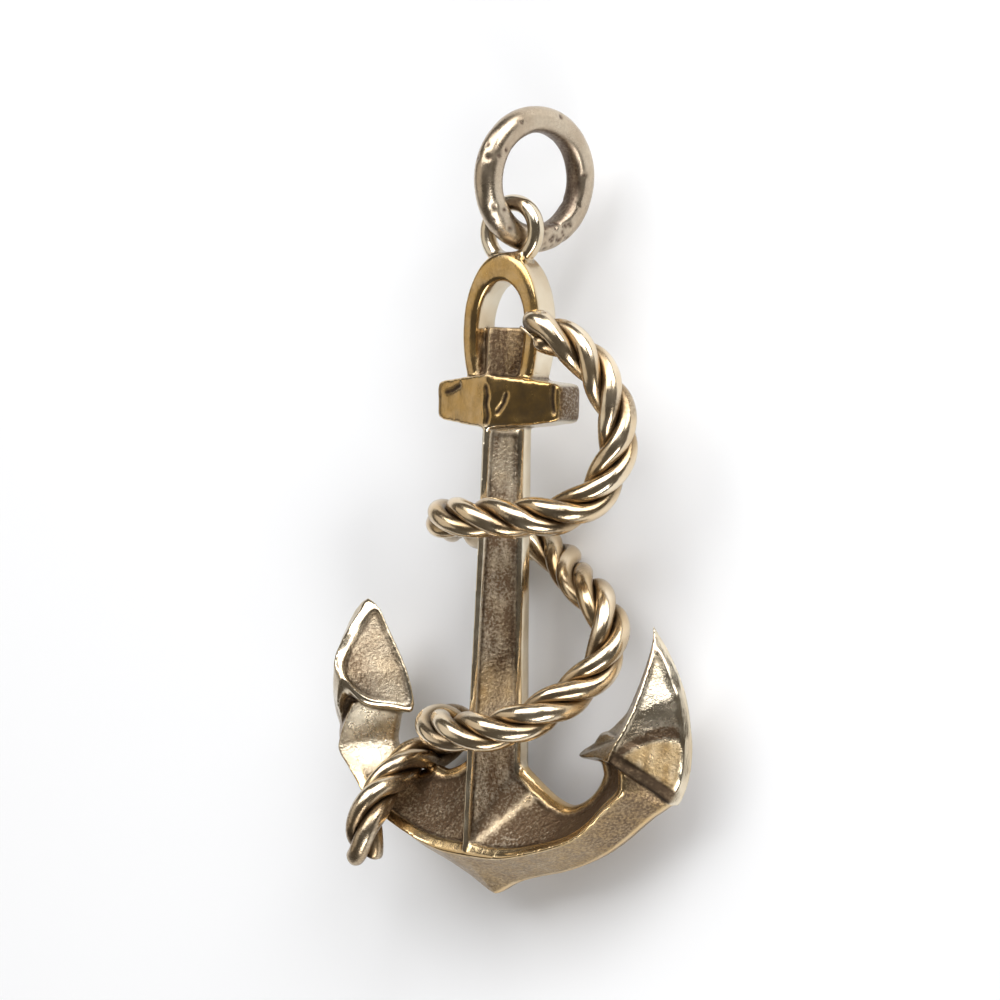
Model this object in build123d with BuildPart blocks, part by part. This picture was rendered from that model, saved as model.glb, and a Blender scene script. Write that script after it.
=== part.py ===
"""A cast gold anchor pendant with a twisted rope round its shank and a jump ring at its head.

Sizes are in millimetres. The anchor is drawn upright in its own frame: X to the right, Y up the
shank from the foot of the crown, and Z towards the front, with its middle plane at Z = 0. At the
end every piece is turned and lowered as the pendant lies on its back on a level surface.
"""

import os
from math import atan2, cos, degrees, pi, radians, sin, tan

from build123d import *

os.makedirs("parts", exist_ok=True)

# Shank: six-sided, with a ridge in front and one behind.
head_top = 25.4
shank_half_width_top = 1.15
shank_half_width_foot = 1.5
shank_ridge_top = 1.72
crown_ridge_height = 2.6
edge_flat = 0.23
shank_foot = 2.2

# Stock: a cross bar that thins towards its rounded ends.
stock_middle = 22.1
stock_length = 6.9
stock_end_height = 1.62
stock_end_depth = 1.57
stock_waist_height = 2.4
stock_waist_depth = 3.56
stock_rounding = 0.42

# Eye: half an ellipse over two legs that curve in to the stock.
eye_top = 28.8
eye_arch = 3.4
eye_width = 4.16
eye_band = 0.84
eye_crown_band = 1.35
eye_foot_width = 2.8
eye_depth = 1.7
eye_rounding = 0.3

# Top loop, soldered to the eye. The jump ring fills its hole and is held at the angle it leans to.
loop_wire = 0.76
loop_overlap = 0.78
ring_play = 0.2

# Arms: a curved six-sided bar from fluke to fluke through the crown.
arm_reach = 7.9
arm_rise = 5.0

# Flukes: arrowheads with a ridge in front and one behind.
fluke_reach = 9.9
fluke_foot = 5.1
fluke_tip = 12.7
fluke_depth = 5.6

# Rope: three round strands laid to the right, with room between them for the bends.
strand_wire = 0.78
strand_room = 0.09
rope_pitch = 5.0
strand_count = 3
strand_sides = 8
sections_per_turn = 12

# Jump ring through the top loop.
ring_outer = 6.5
ring_wire = 1.26
ring_drop = 20.5
ring_lean = 13.0
ring_turn = 75.0

eye_widest = eye_top - eye_arch
loop_hole = ring_wire / cos(radians(ring_drop)) + loop_wire * tan(radians(ring_drop)) + ring_play
loop_radius = (loop_hole + loop_wire) / 2
loop_middle = eye_top - loop_overlap + loop_radius + loop_wire / 2
strand_offset = strand_wire / 2 / sin(pi / strand_count) + strand_room

# Arm sections, from the middle of the crown to a fluke. In and out are the edges on the middle
# plane, as shares of arm_reach and arm_rise; ridge is the ridge's place from the inner edge to the
# outer one, and depth its height as a share of crown_ridge_height.
arm_sections = [
    # in_x, in_y, out_x, out_y, ridge, depth
    (0.000, 1.38, 0.000, 0.00, 0.71, 0.99),
    (0.290, 1.04, 0.176, 0.11, 0.67, 1.00),
    (0.410, 0.92, 0.376, 0.22, 0.62, 0.98),
    (0.524, 0.88, 0.541, 0.31, 0.55, 0.94),
    (0.650, 0.99, 0.780, 0.52, 0.58, 0.87),
    (0.718, 1.13, 0.997, 0.82, 0.55, 0.81),
    (0.741, 1.22, 1.128, 1.06, 0.60, 0.78),
    (0.735, 1.33, 1.155, 1.27, 0.56, 0.72),
    (0.700, 1.60, 1.080, 1.60, 0.56, 0.66),
]

# Fluke sections, from the barbs to near the tip, as shares of fluke_reach, of the height from
# fluke_foot to fluke_tip, and of half of fluke_depth. The two flukes were filed by hand and differ.
left_fluke_sections = [
    # inner_x, inner_up, ridge_x, ridge_up, depth, outer_x, outer_up
    (0.500, 0.30, 0.765, 0.470, 1.00, 0.900, 0.09),
    (0.485, 0.38, 0.790, 0.550, 0.90, 0.965, 0.24),
    (0.545, 0.60, 0.815, 0.660, 0.70, 0.990, 0.45),
    (0.640, 0.80, 0.820, 0.810, 0.36, 0.950, 0.70),
    (0.710, 0.94, 0.790, 0.940, 0.12, 0.860, 0.92),
]
right_fluke_sections = [
    # inner_x, inner_up, ridge_x, ridge_up, depth, outer_x, outer_up
    (0.445, 0.24, 0.755, 0.260, 1.00, 0.935, 0.00),
    (0.600, 0.35, 0.785, 0.380, 0.90, 1.015, 0.15),
    (0.690, 0.52, 0.815, 0.520, 0.70, 1.030, 0.37),
    (0.765, 0.76, 0.830, 0.740, 0.38, 0.985, 0.66),
    (0.795, 0.92, 0.820, 0.910, 0.13, 0.885, 0.89),
]
fluke_point = (0.785, 1.0)

# The rope's route: from the eye's right leg, down the right side, twice round the shank, and over
# the left arm to its cut end.
rope_route = [
    # x, y, z
    (2.02, 25.37, 1.86),
    (3.30, 25.08, 1.72),
    (4.66, 24.29, 1.25),
    (5.70, 22.81, 0.80),
    (6.24, 20.94, 0.55),
    (5.97, 19.22, 0.75),
    (5.20, 17.94, 1.20),
    (4.09, 17.33, 1.98),
    (2.00, 17.09, 2.82),
    (-0.16, 16.99, 3.05),
    (-1.90, 16.81, 2.00),
    (-2.42, 16.45, 0.00),
    (-1.85, 16.00, -1.95),
    (0.00, 15.50, -3.03),
    (1.65, 14.85, -2.50),
    (2.90, 14.25, -1.50),
    (4.78, 13.38, -0.60),
    (5.73, 12.14, -0.05),
    (5.68, 10.95, 0.45),
    (4.96, 9.78, 1.20),
    (3.94, 8.79, 2.35),
    (2.51, 8.02, 3.12),
    (0.35, 7.64, 3.45),
    (-1.75, 7.48, 2.55),
    (-2.55, 7.40, 0.70),
    (-2.75, 7.08, -0.60),
    (-3.45, 6.38, -1.30),
    (-4.10, 5.73, -0.75),
    (-4.24, 5.56, 0.40),
    (-4.36, 5.22, 1.42),
    (-4.50, 4.52, 2.35),
    (-4.58, 3.90, 3.10),
    (-4.65, 3.02, 3.60),
    (-4.75, 2.15, 3.65),
    (-5.00, 1.40, 3.30),
]


def cross_plane(inner, outer):
    """The plane that holds the line between two points of the middle plane and the Z direction."""
    return Plane(origin=inner, x_dir=outer - inner, z_dir=(outer - inner).cross(Vector(0, 0, 1)))


def ridged_outline(width, ridge_at, ridge_height):
    """Six corners of a bar with flat edges and a ridge on each side, from its inner edge."""
    return [
        (0, -edge_flat),
        (ridge_at, -ridge_height),
        (width, -edge_flat),
        (width, edge_flat),
        (ridge_at, ridge_height),
        (0, edge_flat),
    ]


def horseshoe(half_width, arch_height, half_foot):
    """The face inside an arch over two legs that curve in to the middle of the stock."""
    with BuildSketch() as outline:
        with BuildLine():
            arch = EllipticalCenterArc((0, eye_widest), half_width, arch_height, arc_size=180)
            right_leg = TangentArc(arch @ 0, (half_foot, stock_middle), tangent=(0, -1))
            left_leg = TangentArc(arch @ 1, (-half_foot, stock_middle), tangent=(0, -1))
            Line(right_leg @ 1, left_leg @ 1)
        make_face()
    return outline.sketch


def section(plane, corners):
    """One closed section of a loft."""
    with BuildSketch(plane) as outline:
        with BuildLine():
            Polyline(*corners, close=True)
        make_face()
    return outline.sketch


def faceted_solid(rows, tip=None):
    """A solid whose skin joins rows of corners, closed at the ends or drawn to a tip."""
    faces = []

    def patch(*corners):
        faces.append(Face(Wire.make_polygon(corners, close=True)))

    for low, high in zip(rows, rows[1:]):
        for i, corner in enumerate(low):
            j = (i + 1) % len(low)
            patch(corner, low[j], high[j])
            patch(corner, high[j], high[i])
    middle = sum(rows[0], Vector()) / len(rows[0])
    for i, corner in enumerate(rows[0]):
        patch(middle, rows[0][(i + 1) % len(rows[0])], corner)
    top = tip or sum(rows[-1], Vector()) / len(rows[-1])
    for i, corner in enumerate(rows[-1]):
        patch(corner, rows[-1][(i + 1) % len(rows[-1])], top)
    return Solid(Shell(faces))


def fluke(side, sections):
    """The right fluke, side 1, or the left one, side -1."""
    height = fluke_tip - fluke_foot
    rows = []
    for inner_x, inner_up, ridge_x, ridge_up, depth, outer_x, outer_up in sections:
        inner = Vector(side * inner_x * fluke_reach, fluke_foot + inner_up * height, 0)
        outer = Vector(side * outer_x * fluke_reach, fluke_foot + outer_up * height, 0)
        ridge_height = depth * fluke_depth / 2
        front = Vector(side * ridge_x * fluke_reach, fluke_foot + ridge_up * height, ridge_height)
        back = Vector(front.X, front.Y, -front.Z)
        row = [inner, front, outer, back]
        rows.append(row if side > 0 else row[::-1])
    tip = Vector(side * fluke_point[0] * fluke_reach, fluke_foot + fluke_point[1] * height, 0)
    return faceted_solid(rows, tip)


def shank_section(height):
    """The six-sided shank at a height, in its own taper."""
    share = (height - shank_foot) / (stock_middle - shank_foot)
    half_width = shank_half_width_foot + share * (shank_half_width_top - shank_half_width_foot)
    ridge = crown_ridge_height + share * (shank_ridge_top - crown_ridge_height)
    plane = cross_plane(Vector(-half_width, height, 0), Vector(half_width, height, 0))
    return section(plane, ridged_outline(2 * half_width, half_width, ridge))


def arm_section(side, in_x, in_y, out_x, out_y, ridge, depth):
    """One section of the right arm, side 1, or the left one, side -1."""
    inner = Vector(side * in_x * arm_reach, in_y * arm_rise, 0)
    outer = Vector(side * out_x * arm_reach, out_y * arm_rise, 0)
    width = (outer - inner).length
    corners = ridged_outline(width, ridge * width, depth * crown_ridge_height)
    return section(cross_plane(inner, outer), corners)


with BuildPart() as eye:
    extrude(horseshoe(eye_width / 2, eye_arch, eye_foot_width / 2), amount=eye_depth / 2, both=True)
    hole = horseshoe(eye_width / 2 - eye_band, eye_arch - eye_crown_band, eye_foot_width / 2 - eye_band)
    extrude(hole, amount=eye_depth / 2, both=True, mode=Mode.SUBTRACT)
    fillet(edges().filter_by(Axis.Z, reverse=True), eye_rounding)

with BuildPart() as stock:
    for place in (-1, 0, 1):
        with BuildSketch(Plane.YZ.offset(place * stock_length / 2)):
            with Locations((stock_middle, 0)):
                if place == 0:
                    Rectangle(stock_waist_height, stock_waist_depth)
                else:
                    Rectangle(stock_end_height, stock_end_depth)
    loft(ruled=True)
    stock_ends = faces().filter_by(Axis.X).sort_by(Axis.X)
    fillet((stock_ends[0] + stock_ends[-1]).edges(), stock_rounding)

with BuildPart() as anchor_casting:
    # Shank and its head above the stock
    loft([shank_section(height) for height in (shank_foot, stock_middle, head_top)], ruled=True)

    # Arms, from the middle of the crown outwards
    for side in (-1, 1):
        loft([arm_section(side, *row) for row in arm_sections], ruled=True)

    # Flukes
    add(fluke(1, right_fluke_sections))
    add(fluke(-1, left_fluke_sections))

    # Stock, eye and top loop
    add(stock.part)
    add(eye.part)
    with Locations((0, loop_middle, 0)):
        Torus(loop_radius, loop_wire / 2)

with BuildPart() as jump_ring:
    ring_radius = (ring_outer - ring_wire) / 2
    reach = Vector(0, ring_radius, 0).rotate(Axis.X, -ring_drop).rotate(Axis.Z, -ring_lean)
    facing = Vector(0, 0, 1).rotate(Axis.Y, ring_turn)
    facing = facing - reach * (facing.dot(reach) / reach.dot(reach))
    with Locations(Plane(origin=Vector(0, loop_middle, 0) + reach, z_dir=facing)):
        Torus(ring_radius, ring_wire / 2)


def rope_strand(number):
    """One strand: a round wire that winds round the route, evenly along the inside of its bends."""
    route = Edge.make_spline([Vector(*point) for point in rope_route])
    steps = round(route.length / rope_pitch * sections_per_turn)
    points = [route.position_at(step / steps) for step in range(steps + 1)]
    ways = [route.tangent_at(step / steps) for step in range(steps + 1)]
    turn = 2 * pi * number / strand_count
    side_way = Vector(0, 0, 1)
    outward = []
    centres = []
    for step, (point, along) in enumerate(zip(points, ways)):
        if step > 0:
            bend = radians(along.get_angle(ways[step - 1]))
            turn += 2 * pi * ((point - points[step - 1]).length - bend * strand_offset) / rope_pitch
        side_way = (side_way - along * side_way.dot(along)).normalized()
        radial = side_way * cos(turn) + along.cross(side_way) * sin(turn)
        outward.append(radial)
        centres.append(point + radial * strand_offset)
    rows = []
    for step, centre in enumerate(centres):
        along = centres[min(step + 1, steps)] - centres[max(step - 1, 0)]
        across = along.cross(outward[step]).normalized()
        up = across.cross(along).normalized()
        row = []
        for corner in range(strand_sides):
            angle = 2 * pi * corner / strand_sides
            row.append(centre + (up * cos(angle) + across * sin(angle)) * strand_wire / 2)
        rows.append(row)
    return faceted_solid(rows)


strands = {}
for number in range(strand_count):
    with BuildPart() as strand:
        add(rope_strand(number))
    strands[f"rope_strand_{number + 1}"] = strand.part
pieces = {"anchor_casting": anchor_casting.part, "jump_ring": jump_ring.part, **strands}

# The pendant lies on the back ridge of its crown and on the lowest corner of its rope.
_, crown_in_y, _, crown_out_y, ridge_share, _ = max(arm_sections, key=lambda row: row[-1])
crown_rest = (crown_in_y + ridge_share * (crown_out_y - crown_in_y)) * arm_rise
tilt = max(
    degrees(atan2(-crown_ridge_height - corner.Z, corner.Y - crown_rest))
    for strand in strands.values()
    for corner in strand.vertices()
    if corner.Y > crown_rest
)
tilted = {name: piece.rotate(Axis.X, tilt) for name, piece in pieces.items()}
boxes = [piece.bounding_box() for piece in tilted.values()]
left = min(box.min.X for box in boxes)
right = max(box.max.X for box in boxes)
foot = min(box.min.Y for box in boxes)
head = max(box.max.Y for box in boxes)
surface = min(box.min.Z for box in boxes)
to_surface = Location((-(left + right) / 2, -(foot + head) / 2, -surface))

for name, piece in tilted.items():
    lying = piece.moved(to_surface)
    lying.label = name
    print(name, len(lying.solids()), lying.is_valid, round(lying.volume, 3), lying.bounding_box().min.Z)
    export_step(lying, f"parts/{name}.step")

print("rest tilt", round(tilt, 3), "moved", to_surface.position)
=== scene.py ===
"""The look of a cast gold anchor pendant, its twisted rope and its jump ring, on a pale surface.
The casting and the rope are drawn in millimetres in the anchor's own frame (X right, Y up the
shank, Z to the front) and then laid down, in metres. The ring is drawn where it lies.
"""

import math

import bmesh
import bpy
import numpy as np
from mathutils import Matrix, Vector
from mathutils.bvhtree import BVHTree


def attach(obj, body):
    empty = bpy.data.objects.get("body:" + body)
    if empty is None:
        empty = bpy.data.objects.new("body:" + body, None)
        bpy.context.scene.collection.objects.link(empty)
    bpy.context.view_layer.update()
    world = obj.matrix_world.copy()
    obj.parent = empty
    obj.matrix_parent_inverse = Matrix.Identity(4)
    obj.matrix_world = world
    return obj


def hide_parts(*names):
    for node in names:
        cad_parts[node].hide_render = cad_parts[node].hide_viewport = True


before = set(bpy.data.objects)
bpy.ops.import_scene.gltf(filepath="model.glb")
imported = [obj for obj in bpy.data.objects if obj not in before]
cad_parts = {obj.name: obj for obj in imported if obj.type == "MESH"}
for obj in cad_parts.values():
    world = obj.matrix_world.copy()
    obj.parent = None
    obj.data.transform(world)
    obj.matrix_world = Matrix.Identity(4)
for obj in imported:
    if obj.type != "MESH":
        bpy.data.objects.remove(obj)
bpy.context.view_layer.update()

MM = 0.001

# How the pendant lies: turned about X by its rest tilt, then moved, in millimetres
TILT = math.radians(5.468)
LAY = np.array([[1, 0, 0], [0, math.cos(TILT), -math.sin(TILT)], [0, math.sin(TILT), math.cos(TILT)]])
REST_MOVE = np.array([-0.198, -17.6162, 2.38954])

# The anchor's sizes, in millimetres
HEAD_TOP = 25.4
SHANK_FOOT = 2.2
STOCK_MIDDLE = 22.1
HALF_WIDTH_TOP = 1.15
HALF_WIDTH_FOOT = 1.5
RIDGE_TOP = 1.72
CROWN_RIDGE = 2.6
EDGE_FLAT = 0.23
ARM_REACH = 7.9
ARM_RISE = 5.0
FLUKE_REACH = 9.9
FLUKE_FOOT = 5.1
FLUKE_TIP = 12.7
FLUKE_DEPTH = 5.6

# Sections of an arm, from the crown out: its edges as shares of its reach and rise, the ridge's
# share of the way between them, and its share of the crown's depth
ARM_SECTIONS = [
    # in_x, in_y, out_x, out_y, ridge, depth
    (0.000, 1.38, 0.000, 0.00, 0.71, 0.99),
    (0.290, 1.04, 0.176, 0.11, 0.67, 1.00),
    (0.410, 0.92, 0.376, 0.22, 0.62, 0.98),
    (0.524, 0.88, 0.541, 0.31, 0.55, 0.94),
    (0.650, 0.99, 0.780, 0.52, 0.58, 0.87),
    (0.718, 1.13, 0.997, 0.82, 0.55, 0.81),
    (0.741, 1.22, 1.128, 1.06, 0.60, 0.78),
    (0.735, 1.33, 1.155, 1.27, 0.56, 0.72),
    (0.700, 1.60, 1.080, 1.60, 0.56, 0.66),
]
# Sections of a fluke, from its foot to its tip, as shares of its reach, height and depth:
# inner_x, inner_up, ridge_x, ridge_up, depth, outer_x, outer_up
LEFT_FLUKE = [
    (0.500, 0.30, 0.765, 0.470, 1.00, 0.900, 0.09),
    (0.485, 0.38, 0.790, 0.550, 0.90, 0.965, 0.24),
    (0.545, 0.60, 0.815, 0.660, 0.70, 0.990, 0.45),
    (0.640, 0.80, 0.820, 0.810, 0.36, 0.950, 0.70),
    (0.710, 0.94, 0.790, 0.940, 0.12, 0.860, 0.92),
    (0.785, 1.00, 0.785, 1.000, 0.00, 0.785, 1.00),
]
RIGHT_FLUKE = [
    (0.445, 0.24, 0.755, 0.260, 1.00, 0.935, 0.00),
    (0.600, 0.35, 0.785, 0.380, 0.90, 1.015, 0.15),
    (0.690, 0.52, 0.815, 0.520, 0.70, 1.030, 0.37),
    (0.765, 0.76, 0.830, 0.740, 0.38, 0.985, 0.66),
    (0.795, 0.92, 0.820, 0.910, 0.13, 0.885, 0.89),
    (0.785, 1.00, 0.785, 1.000, 0.00, 0.785, 1.00),
]

# The middle line of the rope, from the eye down to the left arm
ROPE_ROUTE = [
    # x, y, z
    (2.02, 25.37, 1.86),
    (3.30, 25.08, 1.72),
    (4.66, 24.29, 1.25),
    (5.70, 22.81, 0.80),
    (6.24, 20.94, 0.55),
    (5.97, 19.22, 0.75),
    (5.20, 17.94, 1.20),
    (4.09, 17.33, 1.98),
    (2.00, 17.09, 2.82),
    (-0.16, 16.99, 3.05),
    (-1.90, 16.81, 2.00),
    (-2.42, 16.45, 0.00),
    (-1.85, 16.00, -1.95),
    (0.00, 15.50, -3.03),
    (1.65, 14.85, -2.50),
    (2.90, 14.25, -1.50),
    (4.78, 13.38, -0.60),
    (5.73, 12.14, -0.05),
    (5.68, 10.95, 0.45),
    (4.96, 9.78, 1.20),
    (3.94, 8.79, 2.35),
    (2.51, 8.02, 3.12),
    (0.35, 7.64, 3.45),
    (-1.75, 7.48, 2.55),
    (-2.55, 7.40, 0.70),
    (-2.75, 7.08, -0.60),
    (-3.45, 6.38, -1.30),
    (-4.10, 5.73, -0.75),
    (-4.24, 5.56, 0.40),
    (-4.36, 5.22, 1.42),
    (-4.50, 4.52, 2.35),
    (-4.58, 3.90, 3.10),
    (-4.65, 3.02, 3.60),
    (-4.75, 2.15, 3.65),
    (-5.00, 1.40, 3.30),
]
ROPE_READINGS = 6000
ROPE_STEPS = 620
ROPE_PITCH = 5.0
# In a bend, the strands' turning follows a line this far in from the middle line
LAY_OFFSET = 0.5403

# The strands, laid hard together, so their crests are a little flat
STRAND_COUNT = 3
STRAND_OFFSET = 0.49
STRAND_RADIUS = 0.44
STRAND_SIDES = 20
CREST_FLAT = 0.07
# They start close together, each in a dome at its own place along the rope
START_OFFSET = 0.35
START_OPENING = (-0.4, 1.3)
STRAND_STARTS = (0.8, 0.5, 0.0)
DOME_LENGTH = 0.45
# One strand's start is broad like a leaf: where, how far it reaches, and how much broader
LEAF_STRAND = 2
LEAF = (0.8, 0.6, 0.28)
# They end in a cut with a small round edge
CUT_LENGTH = 0.16
CUT_NARROWING = 0.75
THINNEST = 0.02
# Uneven wire: how much, and radians to a millimetre
SLOW_WAIST = (0.02, 1.7)
QUICK_WAIST = (0.015, 4.1)

# The jump ring, in the row frame, in millimetres
RING_MIDDLE = np.array([0.35405, 14.41103, 4.53364])
RING_FACING = np.array([0.9482, -0.13183, 0.28902])
RING_OUTER = 6.5
RING_WIRE = 1.26
RING_STEPS = 240
RING_SIDES = 44
# Its inner wall is worn flat: the powers that flatten it, and how far out it stays
WORN_ACROSS = 0.72
WORN_ALONG = 0.8
WORN_DEPTH = 0.9
# Its pits, scattered and gathered at an angle round the ring and round the wire
SCATTERED_PITS = 46
GATHERED_PITS = 30
PITTED = (0.517, 1.2)
PITTED_SPREAD = (0.3, 0.5)
PIT_SIZES = (0.06, 0.16)
PIT_DEPTH = 0.35

# The casting's skin: its cells, how many triangles are kept, and how far off a facet may be
VOXEL = 0.072
TRIANGLES = 190000
FACET_REACH = 0.3

# The corners of the filling that makes the right fluke's barb solid
BARB_FILL = [(4.46, 6.98, 0), (7.3, 7.16, 2.5), (7.35, 7.2, -2.6), (6.85, 9.00, 0), (7.6, 8.0, 0)]
# The right arm ends inside that barb, from this height up
BARB_HEIGHT = 7.05

# How the skin is rounded off: everywhere, and along the outer edges of the flukes
EDGE_SOFTNESS = 0.07
FLUKE_SOFTNESS = 0.25
FLUKE_SOFT_REACH = 0.35
SOFT_PASSES = 40
SMOOTH_PASSES = 14
SHIFT_PASSES = 14
POLISH_PASSES = 6
WEAR_PASSES = 3
# A step in and a longer step out smooth the skin and keep its size
IN_AND_OUT = (0.5, -0.52)
RELIEF_STEPS = (0.5, 0.3)
# Places where the casting is polished rounder
SOFT_SPOTS = [
    # x, y, z, size, strength
    (-7.57, 8.67, 2.8, 1.0, 0.9),
    (-7.57, 8.67, -2.8, 1.0, 0.9),
    (-4.95, 7.38, 0.0, 0.5, 0.7),
    (4.41, 6.92, 0.0, 0.5, 0.5),
    (5.55, 7.90, 0.0, 0.6, 1.0),
    (7.77, 12.70, 0.0, 0.45, 0.35),
    (7.47, 7.08, 2.8, 0.5, 0.6),
    (7.47, 7.08, -2.8, 1.0, 0.8),
    (-6.90, 5.80, 1.2, 1.0, 0.5),
    (9.26, 5.10, 0.0, 0.5, 0.5),
    (0.00, 0.00, 0.0, 0.5, 0.4),
    (0.00, 0.60, 2.6, 0.5, 0.6),
    (-3.9, 22.10, 0.0, 1.1, 0.8),
    (3.9, 22.10, 0.0, 1.0, 0.7),
    (0.00, 28.60, 0.0, 0.7, 0.8),
]
# Places moved as by a press: where, how far it reaches, and which way
PRESSED = [
    ((-7.57, 8.67, 2.8), 0.9, (0.22, 0.36, -0.25)),
    ((-6.40, 8.05, 1.5), 0.9, (0, -0.26, 0)),
    ((4.90, 7.10, 0.2), 1.3, (-0.30, -0.30, 0)),
    ((7.85, 12.30, 0), 0.9, (0.05, 0.16, 0)),
    ((9.26, 5.10, 0), 1.0, (0.22, -0.26, 0)),
    ((0, 0, 0), 1.1, (0.16, -0.24, 0)),
    ((-3.55, 4.40, 0.2), 1.05, (0, 0.74, 0)),
]

# Facets: the rims' widths along the first and the second line, and how deep the panel is sunk
PANELS = {
    "shank": (0.35, 0.3, 0.17),
    "arm_inner": (0.42, 0.52, 0.15),
    "arm_outer": (0.12, 0.1, 0.03),
    "left_inner": (0.16, 0.5, 0.16),
    "left_outer": (0.2, 0.25, 0.0),
    "right_inner": (0.12, 0.15, 0.05),
    "right_outer": (0.1, 0.6, 0.1),
}
# Widths of the rims along a fluke's foot
FOOT_RIM_INNER = 0.38
FOOT_RIM_OUTER = 0.3
# How round a panel's corners are, and from its rim inward: its frost, its sinking and its wall, and
# how strong the painted shade along that wall is
PANEL_CORNER = 0.14
FROST_STEP = (0.0, 0.1)
SINK_STEP = (-0.03, 0.14)
WALL = (0.03, 0.07)
WALL_SHADE = 0.9
# The shank's panels run out below the stock, and are lighter round two heights, the lower one a
# painted highlight
PANEL_END = (20.6, 20.9)
LIGHTER_HIGH = (19.4, 1.6)
HIGHLIGHT_LOW = (9.2, 1.5)
LIGHTER_BY = 0.45
# The left arm's clean end begins from here out and up
ARM_CLEAN_OUT = (4.4, 5.6)
ARM_CLEAN_UP = (4.2, 5.2)
# The right arm is darker from here out; a groove beside its ridge, with painted shade in it: how far
# off, how wide
ARM_DARKER = (1.5, 3.5)
ARM_GROOVE_START = (1.5, 2.5)
ARM_GROOVE = (0.3, 0.05)
# Beside the ridge of an arm's clean end, soil reaches this far
ARM_BORDER = 0.35
# Both arms' outer sides get more painted shade from here out
ARM_OUTER_DARKER = (4, 8)
# A painted highlight along the crown, on a polished, slightly raised line
GLEAM = [(2.5, 5.1, 0.35), (1.71, 4.09, 1.03), (1.08, 3.34, 1.65), (0.3, 2.45, 2.2)]
GLEAM_WIDTH = 0.24
# The flukes' plain sides: frost, and darkening on the panel, painted shade on its wall, and darkening
# all over
PLAIN_SIDES = {
    "left_inner": (0.7, 0.58, 0.6, 0),
    "left_outer": (0.3, 0, 0, 0.22),
    "right_inner": (0.4, 0, 0, 0.45),
}
# The right fluke's two dark bands, painted reflections, bend across it: where they are, and how broad
BAND_X = 8.9
BROAD_BAND = (8.33, 0.27)
THIN_BAND = (8.85, 0.09)
BELOW_BANDS = (7.85, 8.15)
# Its bevel: how far from the foot it ends, and how far from the outer edge it begins
BEVEL_END = (0.55, 0.7)
BEVEL_START = (0.45, 0.6)
# Its outer edge is drawn down from this far in
DRAWN = 0.6
DRAWN_DEPTH = 0.16

# Soil: on the right fluke's barb, in a band across the left fluke's foot, and in single patches
BARB = (5.5, 7.4, 0.4)
BARB_REACH = 1.1
LEFT_BAND = [(-8.9, 8.6, 0.9), (-8.72, 6.68, 0.62), (-7.75, 6.15, 1.6)]
LEFT_BAND_WIDTH = 0.42
PATCHES = [
    # where, how far it reaches, and how much darker or cleaner
    ((-3.10, 4.90, 0.5), 0.9, 0.6),
    ((-7.03, 9.55, 1.3), 0.8, 0.35),
    ((-6.45, 9.70, 0.7), 0.6, -0.25),
]
# Streaks run down the shank: above this height, and this far from its middle
STREAKS_FROM = 3
STREAKS_ACROSS = 1.6

# Heights where the parts of the anchor's top begin and have begun, end and have ended
UPPER_PART = (20.95, 21.15, 28.4, 28.8)
STOCK_PART = (20.9, 21.1, 23.1, 23.4)
HEAD_PART = (23.1, 23.3, 25.6, 25.8)
HEAD_HALF_WIDTH = (1.12, 1.25)
LOOP_FOOT = 28.7
# Fine cracks in the stock, on its front
STOCK_CREASES = [
    # x, y
    [(0.02, 22.75), (0.1, 22.35), (0.02, 21.95), (0.14, 21.5), (0.05, 21.1)],
    [(0.95, 22.45), (0.85, 22.05), (0.55, 21.62)],
    [(-1.75, 22.8), (-2.3, 22.55), (-2.75, 22.45)],
    [(3.05, 22.95), (3.00, 22.3), (3.08, 21.7)],
]
CREASE_WIDTH = 0.085
CREASE_DEPTH = 0.13
# Residue and painted shade near the rope: how near it is full, and how far off it ends
RESIDUE_AND_SHADE = (1.0, 1.8)
RESIDUE_AND_SHADE_STEPS = 160
# How many waves make up a noise
WAVES = 9
# Cast relief: grain on frosted panels, and low waves all over, on the stock and on the top
GRAIN_DEPTH = 0.014
WAVE_DEPTH = 0.006
STOCK_WAVE_DEPTH = 0.031
UPPER_WAVE_DEPTH = 0.014

# Golds: bright and deep clouds, tinted places (tone and painted reflection), soiled places (soil and
# painted shade), roughness of polish, depth of scratches
TINTED = (0.66, 0.43, 0.16)
BRONZE = (0.46, 0.29, 0.12)
CAST_GOLD = ((0.8, 0.72, 0.57), (0.68, 0.56, 0.39), TINTED, (0.15, 0.1, 0.062), 0.12, 0.14)
ROPE_GOLD = ((0.86, 0.74, 0.56), (0.7, 0.54, 0.34), BRONZE, (0.15, 0.09, 0.045), 0.13, 0.12)
RING_GOLD = ((0.72, 0.63, 0.49), (0.56, 0.46, 0.34), BRONZE, (0.17, 0.11, 0.08), 0.19, 0.12)
# Noises in the gold: features to a metre, levels of detail, and how strong these are
CLOUD = (420.0, 3.0, 0.55)
TARNISH = (1500.0, 5.0, 0.6)
SPECK = (8000.0, 3.0, 0.6)
GRIT = (7000.0, 3.0, 0.65)
SCRATCH = (1.0, 4.0, 0.7)
# Scratches are drawn out: features to a metre each way, and the turn of that way
SCRATCH_STRETCH = (2600.0, 500.0, 2600.0)
SCRATCH_TURN = (0.3, 0.2, 0.5)
# How a noise or a mask is read: its first two values become the last two
CLOUD_SHARE = (0.35, 0.65, 0, 1)
TINT_PATCHES = (0.35, 0.6, 0.75, 1.0)
DARKENING_SPOTS = (0.4, 0.64, 1.12, 0.62)
WORN_CLEAN = (0, 1, 1, 0.45)
HOLLOW_PATCHES = (0.3, 0.6, 1.0, 0.6)
TARNISHED = (0.3, 0.7)
# How much rougher the gold is where it is tarnished, frosted, darkened by soil and painted shade, and
# darkened in a hollow by grime and painted shade
ROUGHER = {"tarnish": 0.14, "frost": 0.14, "darkened": 0.1, "grime_and_shade": 0.2}
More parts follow.
